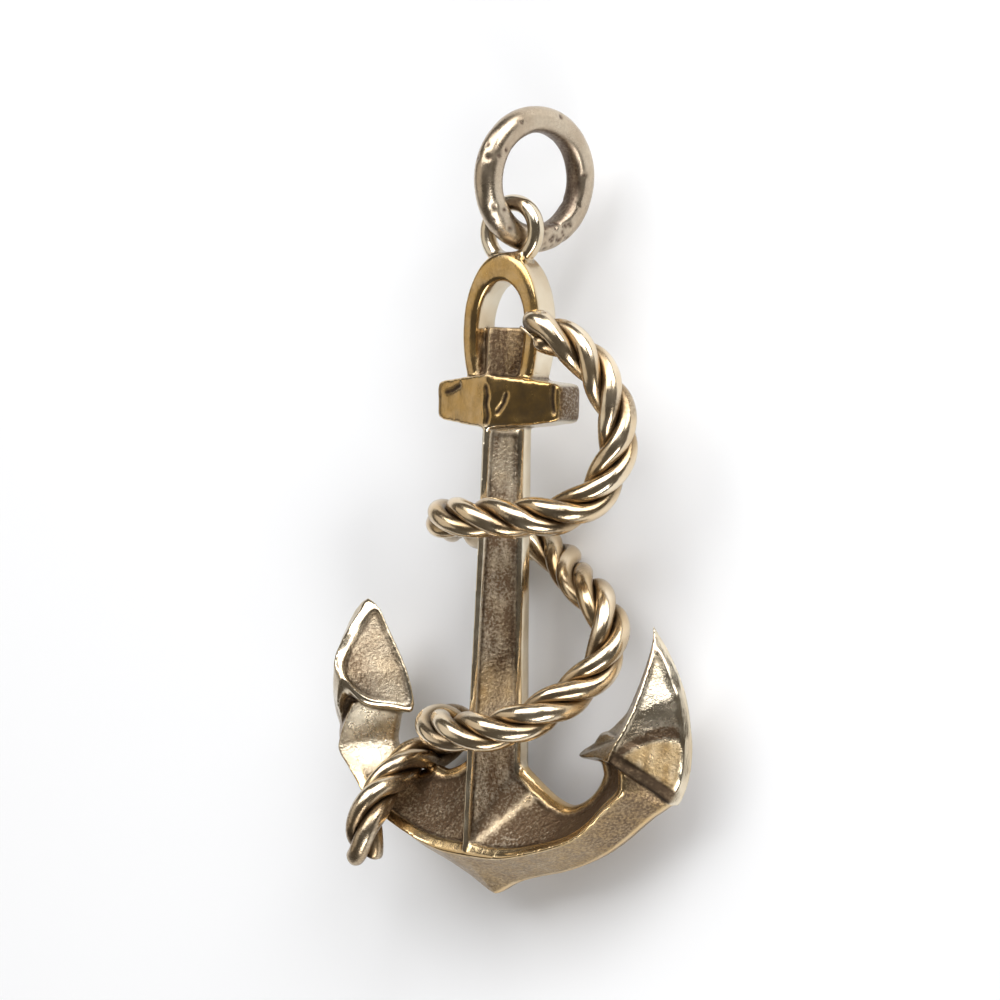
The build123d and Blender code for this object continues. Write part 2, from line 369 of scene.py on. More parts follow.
# Grime and painted shade in hollows are this share of the soil's colour, and soil and painted shade
# have this share of the frost's grain
HOLLOW_DARKNESS = 0.35
DARKENING_GRAIN = 0.15
BUMP_STRENGTH = 0.9
BUMP_DEPTH = 0.00009
# Sockets of a mix node that mixes colours
MIX_SHARE, MIX_FIRST, MIX_SECOND, MIX_RESULT = 0, 6, 7, 2

# The camera, right of the anchor's front and a little towards its head: degrees, millimetres
CAMERA_TURN = 35.0
CAMERA_RISE = 3.0
CAMERA_ROLL = 1.5
CAMERA_TARGET = (0, 17.685, 0)
CAMERA_SHIFT = 0.22
CAMERA_DISTANCE = 90
CAMERA_LENS = 72
CAMERA_SENSOR = 36
CAMERA_CLIP = (0.001, 10)

# The surface, the room and its soft boxes, in metres
SURFACE_COLOUR = (0.88, 0.895, 0.92, 1)
SURFACE_ROUGH = 0.7
ROOM_COLOUR = (1.0, 0.9, 0.78, 1)
ROOM_STRENGTH = 0.1
WHITE = (1, 1, 1)
WARM_WHITE = (1.0, 0.94, 0.85)
SOFT_BOXES = [
    # name, place, size, power, colour
    ("Window_right", (0.24, 0.33, 0.21), (0.36, 0.24), 1.40, WHITE),
    ("Window_near", (0.23, -0.32, 0.21), (0.34, 0.13), 1.00, WHITE),
    ("Overhead", (-0.04, 0.26, 0.36), (0.42, 0.28), 1.50, WHITE),
    ("Ceiling", (-0.30, -0.03, 0.26), (0.36, 0.36), 0.26, WARM_WHITE),
]


# Numbers and places


def to_row(points):
    """Points of the anchor's frame, in millimetres, laid down in the row frame, in metres."""
    return (np.asarray(points, float) @ LAY.T + REST_MOVE) * MM


def to_anchor(points):
    """Points of the row frame, in metres, taken back to the anchor's frame, in millimetres."""
    return (np.asarray(points, float) / MM - REST_MOVE) @ LAY


def smoothstep(low, high, value):
    """0 below low, 1 above high, and a smooth step between them."""
    share = np.clip((value - low) / (high - low), 0, 1)
    return share * share * (3 - 2 * share)


def between(heights, value):
    """1 between two smooth steps and 0 outside them."""
    begin, begun, end, ended = heights
    return smoothstep(begin, begun, value) * (1 - smoothstep(end, ended, value))


def falloff(gap, reach, power=2):
    """1 where the gap is 0 and about a third at the reach; power 4 makes its top flatter."""
    return np.exp(-((gap / reach) ** power))


def unit(vectors):
    """The vectors at length 1."""
    return vectors / np.maximum(np.linalg.norm(vectors, axis=-1, keepdims=True), 1e-12)


def distance(points, place):
    """How far each point is from a place."""
    return np.linalg.norm(points - np.array(place), axis=1)


def line_gap(points, line):
    """How far each point is from a polyline."""
    line = np.array(line)
    best = np.full(len(points), 1e9)
    for start, end in zip(line[:-1], line[1:]):
        way = end - start
        length = way @ way
        if length > 0:
            share = np.clip((points - start) @ way / length, 0, 1)
            gap = np.linalg.norm(points - start - share[:, None] * way, axis=1)
            best = np.minimum(best, gap)
    return best


def walked_along(line):
    """The length walked along a line at each of its points."""
    return np.concatenate([[0], np.cumsum(np.linalg.norm(np.diff(line, axis=0), axis=1))])


def circle(count):
    """Even angles round a circle."""
    return np.linspace(0, 2 * math.pi, count, endpoint=False)


def read_line(line, at, fine):
    """Places on a line whose points are at given lengths, at fine lengths."""
    return np.stack([np.interp(fine, at, line[:, axis]) for axis in range(3)], axis=1)


def divided(line, parts=5):
    """Numbers of a line's points, with its spans divided."""
    return np.linspace(0, len(line) - 1, (len(line) - 1) * parts + 1)


def finer(line):
    """The line with its spans divided."""
    return read_line(line, np.arange(len(line)), divided(line))


def spline(knots, at, fine):
    """A natural cubic curve that passes the knots at the given lengths, read at fine lengths."""
    spans = np.diff(at)
    size = len(knots)
    system = np.eye(size)
    right = np.zeros((size, 3))
    for i in range(1, size - 1):
        before, after = spans[i - 1], spans[i]
        system[i, i - 1 : i + 2] = before, 2 * (before + after), after
        slope = (knots[i + 1] - knots[i]) / after - (knots[i] - knots[i - 1]) / before
        right[i] = 6 * slope
    bend = np.linalg.solve(system, right)
    k = np.clip(np.searchsorted(at, fine, side="right") - 1, 0, size - 2)
    h, t = spans[k][:, None], (fine - at[k])[:, None]
    rest = h - t
    return (
        bend[k] * rest**3 / (6 * h)
        + bend[k + 1] * t**3 / (6 * h)
        + (knots[k] / h - bend[k] * h / 6) * rest
        + (knots[k + 1] / h - bend[k + 1] * h / 6) * t
    )


def rounded(line):
    """The line with its spans divided and its corners turned to a curve."""
    return spline(line, np.arange(len(line), dtype=float), divided(line))


def wobble(points, size, seed):
    """Smooth noise, mostly from -1 to 1, with bumps of a size in millimetres."""
    draw = np.random.default_rng(seed)
    heights = np.zeros(len(points))
    pace = 2 * math.pi / size
    for _ in range(WAVES):
        way = unit(draw.normal(size=3))
        heights += np.sin(points @ way * pace * draw.uniform(0.7, 1.4) + draw.uniform(0, 7))
    return heights / (WAVES / 2)


# Meshes


def triples(collection, key):
    """The three numbers of each entry as an array."""
    flat = np.empty(len(collection) * 3, np.float32)
    collection.foreach_get(key, flat)
    return flat.reshape(-1, 3).astype(float)


def points_of(mesh):
    """A mesh's points as an array."""
    return triples(mesh.vertices, "co")


def normals_of(mesh):
    """A mesh's point normals as an array."""
    return triples(mesh.vertex_normals, "vector")


def set_points(mesh, points):
    """Moves a mesh's points."""
    mesh.vertices.foreach_set("co", np.asarray(points, np.float32).ravel())
    mesh.update()


def edge_array(mesh):
    """A mesh's edges as an array of point numbers."""
    flat = np.empty(len(mesh.edges) * 2, np.int32)
    mesh.edges.foreach_get("vertices", flat)
    return flat.reshape(-1, 2)


def spread(edges, values):
    """The mean of each point's neighbours."""
    size = len(values)
    here, there = edges.T.ravel(), edges[:, ::-1].T.ravel()
    count = np.bincount(here, minlength=size)
    flat = values.reshape(size, -1)
    sums = np.empty_like(flat)
    for column in range(flat.shape[1]):
        sums[:, column] = np.bincount(here, weights=flat[there, column], minlength=size)
    return (sums / np.maximum(count, 1)[:, None]).reshape(values.shape)


def pull(edges, points):
    """The way from each point to the middle of its neighbours."""
    return spread(edges, points) - points


def evened(edges, values):
    """The values, each mixed half with its neighbours."""
    return 0.5 * values + 0.5 * spread(edges, values)


def paint(mesh, name, values):
    """Stores one number for each point."""
    layer = mesh.attributes.new(name, "FLOAT", "POINT")
    layer.data.foreach_set("value", np.asarray(values, np.float32))


def mesh_of(name, points, faces):
    """A mesh from points and faces."""
    mesh = bpy.data.meshes.new(name)
    mesh.from_pydata([tuple(p) for p in points], [], [tuple(int(i) for i in f) for f in faces])
    mesh.validate()
    mesh.update()
    return mesh


def new_object(name, data):
    """An object in the scene."""
    made = bpy.data.objects.new(name, data)
    bpy.context.scene.collection.objects.link(made)
    return made


def modified(mesh, kind, **settings):
    """A new mesh: the given one as a modifier makes it."""
    holder = new_object("holder", mesh)
    modifier = holder.modifiers.new("change", kind)
    for key, value in settings.items():
        setattr(modifier, key, value)
    graph = bpy.context.evaluated_depsgraph_get()
    made = bpy.data.meshes.new_from_object(holder.evaluated_get(graph))
    bpy.data.objects.remove(holder)
    return made


def tube(rings, caps=True):
    """Points and faces of a skin over rows of corners, closed by caps or joined end to end."""
    rows, sides = rings.shape[:2]
    points = rings.reshape(-1, 3)
    faces = []
    for i in range(rows - 1 if caps else rows):
        here, after = i * sides, (i + 1) % rows * sides
        for j in range(sides):
            k = (j + 1) % sides
            faces.append((here + j, here + k, after + k, after + j))
    if caps:
        faces.append(tuple(range(sides))[::-1])
        faces.append(tuple(range((rows - 1) * sides, rows * sides)))
    return points, faces


def add_piece(mesh, name, slot, *nodes):
    """A smooth piece that stands for CAD nodes and rides on the root body."""
    mesh.polygons.foreach_set("use_smooth", np.ones(len(mesh.polygons), bool))
    mesh.update()
    piece = new_object(name, mesh)
    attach(piece, "root")
    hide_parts(*nodes)
    return piece


# Lines and facets of the anchor, in its own frame


def shank_lines(side, face):
    """The shank's ridge and edge on one side, and on the front, face 1, or the back, face -1."""
    ridge, edge = [], []
    for height in np.linspace(SHANK_FOOT, HEAD_TOP, 12):
        share = (height - SHANK_FOOT) / (STOCK_MIDDLE - SHANK_FOOT)
        half_width = HALF_WIDTH_FOOT + share * (HALF_WIDTH_TOP - HALF_WIDTH_FOOT)
        ridge.append((0, height, face * (CROWN_RIDGE + share * (RIDGE_TOP - CROWN_RIDGE))))
        edge.append((side * half_width, height, face * EDGE_FLAT))
    return np.array(ridge), np.array(edge)


def arm_lines(side, face):
    """An arm's inner edge, ridge and outer edge."""
    inner, ridge, outer = [], [], []
    for in_x, in_y, out_x, out_y, share, depth in ARM_SECTIONS:
        a = np.array([side * in_x * ARM_REACH, in_y * ARM_RISE, face * EDGE_FLAT])
        b = np.array([side * out_x * ARM_REACH, out_y * ARM_RISE, face * EDGE_FLAT])
        middle = a + (b - a) * share
        inner.append(a)
        outer.append(b)
        ridge.append((middle[0], middle[1], face * depth * CROWN_RIDGE))
    return np.array(inner), np.array(ridge), np.array(outer)


def fluke_lines(side, face):
    """A fluke's inner edge, ridge and outer edge."""
    inner, ridge, outer = [], [], []
    height = FLUKE_TIP - FLUKE_FOOT
    table = RIGHT_FLUKE if side > 0 else LEFT_FLUKE
    for inner_x, inner_up, ridge_x, ridge_up, depth, outer_x, outer_up in table:
        inner.append((side * inner_x * FLUKE_REACH, FLUKE_FOOT + inner_up * height, 0))
        front = face * depth * FLUKE_DEPTH / 2
        ridge.append((side * ridge_x * FLUKE_REACH, FLUKE_FOOT + ridge_up * height, front))
        outer.append((side * outer_x * FLUKE_REACH, FLUKE_FOOT + outer_up * height, 0))
    return np.array(inner), np.array(ridge), np.array(outer)


class Facet:
    """A strip of the anchor's surface between two lines, with a panel inside polished rims."""

    def __init__(self, name, first, second, ends=()):
        self.name = name
        self.second = second
        first_rim, second_rim, self.depth = PANELS[name]
        self.rims = [(first, first_rim), (second, second_rim)] + list(ends)
        self.points = np.concatenate([finer(first), finer(second)])
        self.curve = np.concatenate([rounded(first), rounded(second)]) - self.points

    def read(self, points):
        """How much each point is on the panel, how deep it is sunk, and how much painted shade falls
        on it near the wall.
        """
        near = np.zeros(len(points))
        for line, width in self.rims:
            near += np.exp(-(line_gap(points, line) - width) / PANEL_CORNER)
        inside = -PANEL_CORNER * np.log(near)
        panel = smoothstep(*FROST_STEP, inside)
        sunk = self.depth * smoothstep(*SINK_STEP, inside)
        # Painted shade along the panel's wall
        wall_shade = WALL_SHADE * falloff(inside - WALL[0], WALL[1])
        return panel, sunk, wall_shade


def anchor_facets():
    """Every facet of the shank, arms and flukes."""
    facets = []
    for face in (1, -1):
        for side in (1, -1):
            ridge, edge = shank_lines(side, face)
            facets.append(Facet("shank", ridge, edge))
            inner, ridge, outer = arm_lines(side, face)
            facets.append(Facet("arm_inner", inner, ridge))
            facets.append(Facet("arm_outer", ridge, outer))
            inner, ridge, outer = fluke_lines(side, face)
            foot = np.array([inner[0], ridge[0], outer[0]])
            kind = "right" if side > 0 else "left"
            facets.append(Facet(kind + "_inner", inner, ridge, [(foot[:2], FOOT_RIM_INNER)]))
            facets.append(Facet(kind + "_outer", ridge, outer, [(foot[1:], FOOT_RIM_OUTER)]))
    return facets


def weights(corners, place):
    """The shares of a triangle's corners at a place on it."""
    a, b, c = corners
    way, other, here = b - a, c - a, np.array(place) - a
    system = np.array([[way @ way, way @ other], [way @ other, other @ other]])
    if abs(np.linalg.det(system)) < 1e-12:
        return np.array([1.0, 0.0, 0.0])
    second, third = np.linalg.solve(system, [here @ way, here @ other])
    return np.clip([1 - second - third, second, third], 0, 1)


def find_facets(points, facets):
    """The number of each point's facet, or -1, and its way to where that facet is curved."""
    triangles, owner, corners, curves, start = [], [], [], [], 0
    for number, facet in enumerate(facets):
        corners.append(facet.points)
        curves.append(facet.curve)
        count = len(facet.points) // 2
        for i in range(start, start + count - 1):
            triangles += [(i, i + 1, count + i + 1), (i, count + i + 1, count + i)]
        owner += [number] * (2 * count - 2)
        start += 2 * count
    corners, curves = np.concatenate(corners), np.concatenate(curves)
    tree = BVHTree.FromPolygons([Vector(p) for p in corners], triangles)
    triangles = np.array(triangles)
    found = np.full(len(points), -1)
    shift = np.zeros_like(points)
    for i, point in enumerate(points):
        place, _, nearest, _ = tree.find_nearest(Vector(point), FACET_REACH)
        if nearest is not None:
            three = triangles[nearest]
            found[i] = owner[nearest]
            shift[i] = curves[three].T @ weights(corners[three], place)

    # The end of the arm inside the right fluke's barb counts for nothing
    arms = [number for number, facet in enumerate(facets) if facet.name.startswith("arm")]
    barb = np.isin(found, arms) & (points[:, 0] > 0) & (points[:, 1] > BARB_HEIGHT)
    found[barb] = -1
    shift[barb] = 0
    return found, shift


# The casting's look, facet by facet, in layers: how frosted, darkened by soil and painted shade,
# tinted in tone and painted reflection, or creased each point is, as shares of the full strength, and
# how far it is sunk


def dress_shank(facet, points):
    """The shank: dark, frosted panels that run out below the stock, with painted shade along their
    walls and a painted highlight across them.
    """
    panel, sunk, wall_shade = facet.read(points)
    height = points[:, 1]
    open_part = 1 - smoothstep(*PANEL_END, height)
    # The lower band is a painted highlight, lighter and tinted; the upper band is only lighter
    lighter_high = falloff(height - LIGHTER_HIGH[0], LIGHTER_HIGH[1])
    highlight_low = falloff(height - HIGHLIGHT_LOW[0], HIGHLIGHT_LOW[1])
    darkened = 0.95 - LIGHTER_BY * lighter_high - LIGHTER_BY * highlight_low
    return {
        "frost": panel * open_part,
        "sink": sunk * open_part,
        "soil_and_shade": np.maximum(darkened * panel, wall_shade) * open_part,
        "tint_and_reflection": 0.4 * panel * highlight_low,
    }


def dress_arm_inner(facet, points):
    """An arm's inner side: dark and frosted but clean at the left arm's end, with a painted highlight
    along the crown, and painted shade in its groove and along its walls.
    """
    panel, sunk, wall_shade = facet.read(points)
    x, height = points[:, 0], points[:, 1]
    clean = smoothstep(*ARM_CLEAN_OUT, -x) * smoothstep(*ARM_CLEAN_UP, height)
    dull = 1 - clean
    # A painted highlight along the crown
    gleam = falloff(line_gap(points, GLEAM), GLEAM_WIDTH)
    ridge_gap = line_gap(points, facet.second)
    # Painted shade in the groove beside the ridge
    groove = falloff(ridge_gap - ARM_GROOVE[0], ARM_GROOVE[1]) * smoothstep(*ARM_GROOVE_START, x)
    border = falloff(ridge_gap, ARM_BORDER)
    darkened = 1.08 + 0.2 * smoothstep(*ARM_DARKER, x)
    soil_and_shade = np.maximum(darkened * panel, 0.8 * wall_shade) * dull * (1 - 0.95 * gleam)
    soil_and_shade += clean * (0.02 + 0.4 * border)
    return {
        "frost": panel * (1 - 0.8 * gleam) * dull + 0.65 * clean,
        "sink": (sunk - 0.05 * gleam) * dull + 0.05 * groove,
        "soil_and_shade": np.maximum(soil_and_shade, groove),
        "tint_and_reflection": np.maximum(0.15 * gleam, 0.7 * (1 - panel) * dull),
    }


def dress_arm_outer(facet, points):
    """An arm's outer side: tinted, half frosted, and darkened by painted shade, more towards its end.
    """
    panel, sunk, _ = facet.read(points)
    darker = smoothstep(*ARM_OUTER_DARKER, np.abs(points[:, 0]))
    # Painted shade darkens the outer side, more towards its end
    soil_and_shade = (0.68 + 0.2 * darker) * panel
    return {"frost": 0.4 * panel, "sink": sunk, "soil_and_shade": soil_and_shade, "tint_and_reflection": 0.75}


def dress_plain(facet, points):
    """A plain side of a fluke: frosted in its panel, evenly darkened, with painted shade along its
    wall.
    """
    panel, sunk, wall_shade = facet.read(points)
    frost, on_panel, shade_on_wall, all_over = PLAIN_SIDES[facet.name]
    soil_and_shade = np.maximum(on_panel * panel, shade_on_wall * wall_shade)
    return {"frost": frost * panel, "sink": sunk, "soil_and_shade": np.maximum(soil_and_shade, all_over)}


def dress_right_outer(facet, points):
    """The right fluke's outer side: two dark bands of painted reflection, dull ribs below them, and a
    dark bevel.
    """
    panel, sunk, _ = facet.read(points)
    across = points[:, 0] - BAND_X
    level = points[:, 1] - 0.35 * across + 0.25 * (across / 0.7) ** 2
    # The bands are painted dark reflections
    band = falloff(level - BROAD_BAND[0], BROAD_BAND[1], 4)
    band += 0.6 * falloff(level - THIN_BAND[0], THIN_BAND[1])
    low = 1 - smoothstep(*BELOW_BANDS, level)
    outer_gap = line_gap(points, facet.second)
    foot, _ = facet.rims[-1]
    bevel = 1 - smoothstep(*BEVEL_END, line_gap(points, foot))
    bevel *= smoothstep(*BEVEL_START, outer_gap)
    drawn = np.clip(1 - outer_gap / DRAWN, 0, 1)
    ribs = np.clip(wobble(points * [1, 0.35, 1], 0.55, seed=14), -1, 1)
    darkened = np.maximum((0.34 + 0.3 * ribs) * low, 0.16)
    return {
        "frost": panel * (0.28 + 0.52 * low) * (1 - bevel),
        "sink": sunk * (1 - bevel) + DRAWN_DEPTH * drawn,
        "creases": 0.85 * bevel,
        "soil_and_shade": np.maximum(np.maximum(1.4 * band * panel, bevel), darkened * panel),
        "tint_and_reflection": np.maximum((0.75 + 0.3 * ribs) * low * panel, 0.5 * bevel),
    }


DRESSINGS = {
    "shank": dress_shank,
    "arm_inner": dress_arm_inner,
    "arm_outer": dress_arm_outer,
    "right_outer": dress_right_outer,
}


def dress_facets(points, facets, found):
    """The layers of the casting's look, as its facets have them."""
    layers = {name: np.zeros(len(points)) for name in ("frost", "soil_and_shade", "tint_and_reflection", "sink", "creases")}
    for number, facet in enumerate(facets):
        mine = np.nonzero(found == number)[0]
        if len(mine) > 0:
            dress = DRESSINGS.get(facet.name, dress_plain)
            for name, values in dress(facet, points[mine]).items():
                layers[name][mine] = values
    return layers


def at_least(layers, name, values):
    """Raises a layer where the values are higher."""
    layers[name] = np.maximum(layers[name], values)


def shank_streaks(points):
    """Streaks that run up and down, from -1 to 1."""
    broad = wobble(points * [1, 0.12, 1], 0.55, seed=11)
    return np.clip(broad + 0.5 * wobble(points * [1, 0.3, 1], 0.3, seed=12), -1, 1)


def dress_patches(layers, points, streaks):
    """Dark or clean patches, and uneven soil and tint where the casting is frosted."""
    at_least(layers, "soil_and_shade", 0.62 * falloff(distance(points, BARB), BARB_REACH, 4))
    at_least(layers, "soil_and_shade", 0.9 * falloff(line_gap(points, LEFT_BAND), LEFT_BAND_WIDTH))
    for place, reach, much in PATCHES:
        layers["soil_and_shade"] += much * falloff(distance(points, place), reach)
    at_least(layers, "soil_and_shade", 0)
    frost = layers["frost"]
    on_shank = (points[:, 1] > STREAKS_FROM) * (np.abs(points[:, 0]) < STREAKS_ACROSS)
    layers["soil_and_shade"] += 0.22 * streaks * frost * on_shank
    layers["soil_and_shade"] += 0.16 * np.clip(wobble(points, 1.6, seed=15), -1, 1) * frost
    layers["tint_and_reflection"] += 0.3 * np.clip(wobble(points, 1.9, seed=16), 0, 1) * frost


def dress_top(layers, points, normals, upper, stock, streaks):
    """The stock and eye, tinted deeper in front as painted reflection and a deeper finish, the
    stock's dull ends and cracks, and the head.
    """
    x, y = points[:, 0], points[:, 1]
    front = smoothstep(0.2, 0.55, normals[:, 2])
    # The front faces get a deeper gold: painted reflection, partly a deeper finish
    at_least(layers, "tint_and_reflection", upper * front)
    ends = stock * smoothstep(0.5, 0.8, np.abs(normals[:, 0]))
    at_least(layers, "frost", 0.7 * ends)
    at_least(layers, "soil_and_shade", 1.05 * ends)
    at_least(layers, "soil_and_shade", 0.28 * stock * front * smoothstep(0.3, 1.1, x))
    blots = wobble(points, 1.1, seed=9) + 0.6 * wobble(points, 0.5, seed=10)
    mottle = 0.5 + 0.5 * np.clip(blots, -1, 1)
    at_least(layers, "soil_and_shade", (0.05 + 0.3 * mottle) * upper * front)
    head = between(HEAD_PART, y) * (1 - smoothstep(*HEAD_HALF_WIDTH, np.abs(x)))
    at_least(layers, "frost", 0.6 * head)
    at_least(layers, "soil_and_shade", (0.95 + 0.3 * streaks) * head)
    layers["tint_and_reflection"] *= 1 - 0.35 * head
    for line in STOCK_CREASES:
        gap = line_gap(points[:, :2], line) + 1.2 * (1 - front)
        crease = falloff(gap, CREASE_WIDTH) * stock
        at_least(layers, "soil_and_shade", 1.3 * crease)
        at_least(layers, "sink", CREASE_DEPTH * crease)
        at_least(layers, "creases", crease)


def dress_residue_and_shade(layers, points, upper):
    """Painted shade and residue where the rope crosses the casting, and in the hollow of the top
    loop.
    """
    near_rope = 1 - smoothstep(*RESIDUE_AND_SHADE, line_gap(points, rope_line(RESIDUE_AND_SHADE_STEPS)))
    at_least(layers, "soil_and_shade", 0.75 * near_rope * (1 - upper))
    near_loop = 0.6 * falloff(points[:, 1] - LOOP_FOOT, 0.35)
    at_least(layers, "soil_and_shade", near_loop * (1 - smoothstep(0.5, 0.9, np.abs(points[:, 0]))))


# The casting


def casting_blank():
    """The CAD solid in the anchor's frame, with its barb filled, as one even skin."""
    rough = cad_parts["anchor_casting"].data.copy()
    set_points(rough, to_anchor(points_of(rough)))
    shape = bmesh.new()
    shape.from_mesh(rough)
    filling = bmesh.ops.convex_hull(shape, input=[shape.verts.new(corner) for corner in BARB_FILL])
    faces = [part for part in filling["geom"] if isinstance(part, bmesh.types.BMFace)]
    bmesh.ops.recalc_face_normals(shape, faces=faces)
    shape.to_mesh(rough)
    shape.free()
    mesh = modified(rough, "REMESH", mode="VOXEL", voxel_size=VOXEL)
    mesh.name = "anchor_casting_skin"
    mesh.materials.clear()
    return mesh


def soften(points, edges, facets):
    """Rounds off the edges, most where parts are joined or worn, and smooths the skin."""
    soft = np.full(len(points), EDGE_SOFTNESS)
    for facet in facets:
        if facet.name in ("left_outer", "right_outer"):
            gap = line_gap(points, rounded(facet.second))
            soft = np.maximum(soft, FLUKE_SOFTNESS * falloff(gap, FLUKE_SOFT_REACH))
    for *place, size, strength in SOFT_SPOTS:
        soft = np.maximum(soft, strength * falloff(distance(points, place), size))
    for _ in range(SOFT_PASSES):
        points += pull(edges, points) * soft[:, None]
    for share in IN_AND_OUT * SMOOTH_PASSES:
        points += pull(edges, points) * share


def curve_and_press(points, shift, edges):
    """Moves the skin to the curved facets and as it is pressed."""
    for _ in range(SHIFT_PASSES):
        shift = evened(edges, shift)
    for place, reach, way in PRESSED:
        shift += falloff(distance(points, place), reach)[:, None] * np.array(way)
    points += shift


def relief(layers, points, edges, upper, stock):
    """How far each point goes in: sunk panels, grain and waves."""
    grain = wobble(points, 0.55, seed=5) * 0.6 + wobble(points, 0.32, seed=6) * 0.4
    waves = wobble(points, 2.6, seed=7) * (WAVE_DEPTH + STOCK_WAVE_DEPTH * stock)
    waves += wobble(points, 1.3, seed=8) * UPPER_WAVE_DEPTH * upper
    return spread(edges, layers["sink"]) + GRAIN_DEPTH * grain * layers["frost"] + waves


def polish_skin(points, edges, frost):
    """Evens the relief a little and smooths the places that are not frosted."""
    for share in RELIEF_STEPS:
        points += pull(edges, points) * share
    polished = (1 - frost)[:, None]
    for share in IN_AND_OUT * POLISH_PASSES:
        points += pull(edges, points) * share * polished


def add_wear(layers, mesh, points, edges):
    """Grime and painted shade in hollows, and wear on edges, from how far out each point stands."""
    stands_out = points - spread(edges, points)
    stand = np.einsum("ij,ij->i", stands_out, normals_of(mesh)) / VOXEL
    for _ in range(WEAR_PASSES):
        stand = evened(edges, stand)
    creases = 1.5 * layers["creases"]
    # Grime and painted shade in hollows
    layers["hollow"] = np.maximum(smoothstep(0.01, 0.07, -stand), creases)
    layers["wear"] = smoothstep(0.02, 0.1, stand) * (1 - np.clip(creases, 0, 1))


def make_casting():
    """The cast anchor: softened edges, sunk panels with rims, and cast texture."""
    mesh = casting_blank()
    edges = edge_array(mesh)
    points = points_of(mesh)
    facets = anchor_facets()
    soften(points, edges, facets)
    set_points(mesh, points)

    found, shift = find_facets(points, facets)
    layers = dress_facets(points, facets, found)
    upper, stock = between(UPPER_PART, points[:, 1]), between(STOCK_PART, points[:, 1])
    streaks = shank_streaks(points)
    dress_patches(layers, points, streaks)
    dress_top(layers, points, normals_of(mesh), upper, stock, streaks)
    dress_residue_and_shade(layers, points, upper)

    inward = relief(layers, points, edges, upper, stock)
    curve_and_press(points, shift, edges)
    set_points(mesh, points)
    points -= normals_of(mesh) * inward[:, None]
    polish_skin(points, edges, layers["frost"])
    set_points(mesh, points)
    add_wear(layers, mesh, points, edges)
    for name in ("frost", "soil_and_shade", "tint_and_reflection", "hollow", "wear"):
        paint(mesh, name, evened(edges, layers[name]))
    set_points(mesh, to_row(points))
    ratio = min(1, TRIANGLES / (2 * len(mesh.polygons)))
    mesh = modified(mesh, "DECIMATE", ratio=ratio)
    return add_piece(mesh, "Anchor_casting", "anchor_casting", "anchor_casting")


# The rope


def rope_line(count):
    """The rope's middle line: a natural cubic curve through its route, at even lengths."""
    knots = np.array(ROPE_ROUTE)
    at = walked_along(knots)
    line = spline(knots, at, np.linspace(0, at[-1], ROPE_READINGS))
    walked = walked_along(line)
    return read_line(line, walked, np.linspace(0, walked[-1], count))


def rope_frame():
    """Middle points along the rope, their directions, and two ways square to each direction."""
    middle = rope_line(ROPE_STEPS + 1)
    along = unit(np.gradient(middle, axis=0))
    side_way = np.array([0.0, 0.0, 1.0])
    sides = []
    for way in along:
        side_way = side_way - way * (side_way @ way)
        side_way /= np.linalg.norm(side_way)
        sides.append(side_way)
    sides = np.array(sides)
    return middle, along, sides, np.cross(along, sides)


def strand_turn(number, middle, along):
    """How far a strand has turned round the rope's middle line, in radians."""
    steps = np.linalg.norm(np.diff(middle, axis=0), axis=1)
    bends = np.arccos(np.clip(np.einsum("ij,ij->i", along[1:], along[:-1]), -1, 1))
    turns = 2 * math.pi * (steps - bends * LAY_OFFSET) / ROPE_PITCH
    return 2 * math.pi * number / STRAND_COUNT + np.concatenate([[0], np.cumsum(turns)])


def strand_radius(number, walked):
    """A strand's radius along the rope: its dome or leaf, its uneven wire and its cut."""
    begun = np.clip((walked - STRAND_STARTS[number]) / DOME_LENGTH, 0, 1)
    dome = np.sqrt(np.clip(1 - (1 - begun) ** 2, THINNEST, 1))
    if number == LEAF_STRAND:
        middle, reach, broader = LEAF
        dome *= 1 + broader * falloff(walked - middle, reach)
    from_end = np.clip((walked[-1] - walked) / CUT_LENGTH, 0, 1)
    cut = np.sqrt(np.clip(1 - CUT_NARROWING * (1 - from_end) ** 2, THINNEST, 1))
    draw = np.random.default_rng(20 + number)
    waist = 1 + SLOW_WAIST[0] * np.sin(walked * SLOW_WAIST[1] + draw.uniform(0, 6))
    waist += QUICK_WAIST[0] * np.sin(walked * QUICK_WAIST[1] + 2 * number)
    return STRAND_RADIUS * dome * cut * waist


